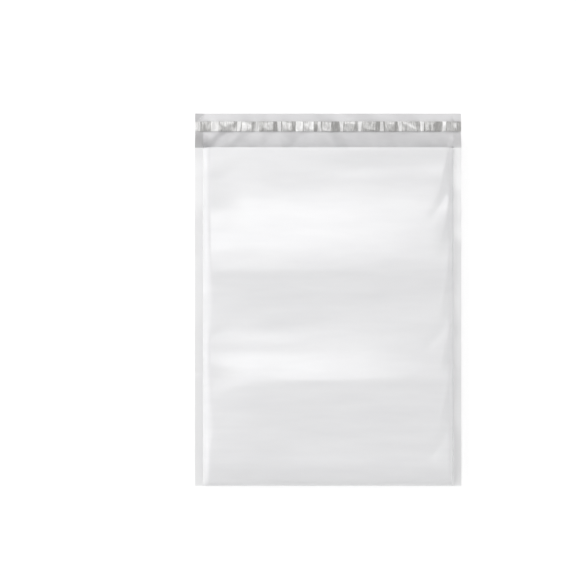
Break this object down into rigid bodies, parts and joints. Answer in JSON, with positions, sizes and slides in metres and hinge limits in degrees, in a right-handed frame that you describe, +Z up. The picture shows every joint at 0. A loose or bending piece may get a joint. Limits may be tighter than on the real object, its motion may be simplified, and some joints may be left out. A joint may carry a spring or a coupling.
{
  "type": "poly mailer",
  "caption": "Padded poly mailer: white film envelope with a bubble liner, heat-sealed sides and an open flap that carries an adhesive band under a crinkled release strip.",
  "frame": {"origin": "under the middle of the mailer, on the surface that its back lies on", "axes": "+Z up out of the front panel, +Y from the bottom fold towards the flap, +X across"},
  "size_m": [0.216, 0.302, 0.0156],
  "materials": {
    "outer_film": "satin white co-extruded polyethylene film, grey on its inside",
    "bubble_liner": "clear, slightly milky polyethylene bubble film",
    "adhesive_strip": "tacky hot-melt adhesive, cloudy",
    "release_strip": "shiny see-through release tape, crinkled"
  },
  "bodies": {
    "root": {"outer_film": "outer_film", "bubble_liner": "bubble_liner", "adhesive_strip": "adhesive_strip", "release_strip": "release_strip"}
  },
  "joints": []
}
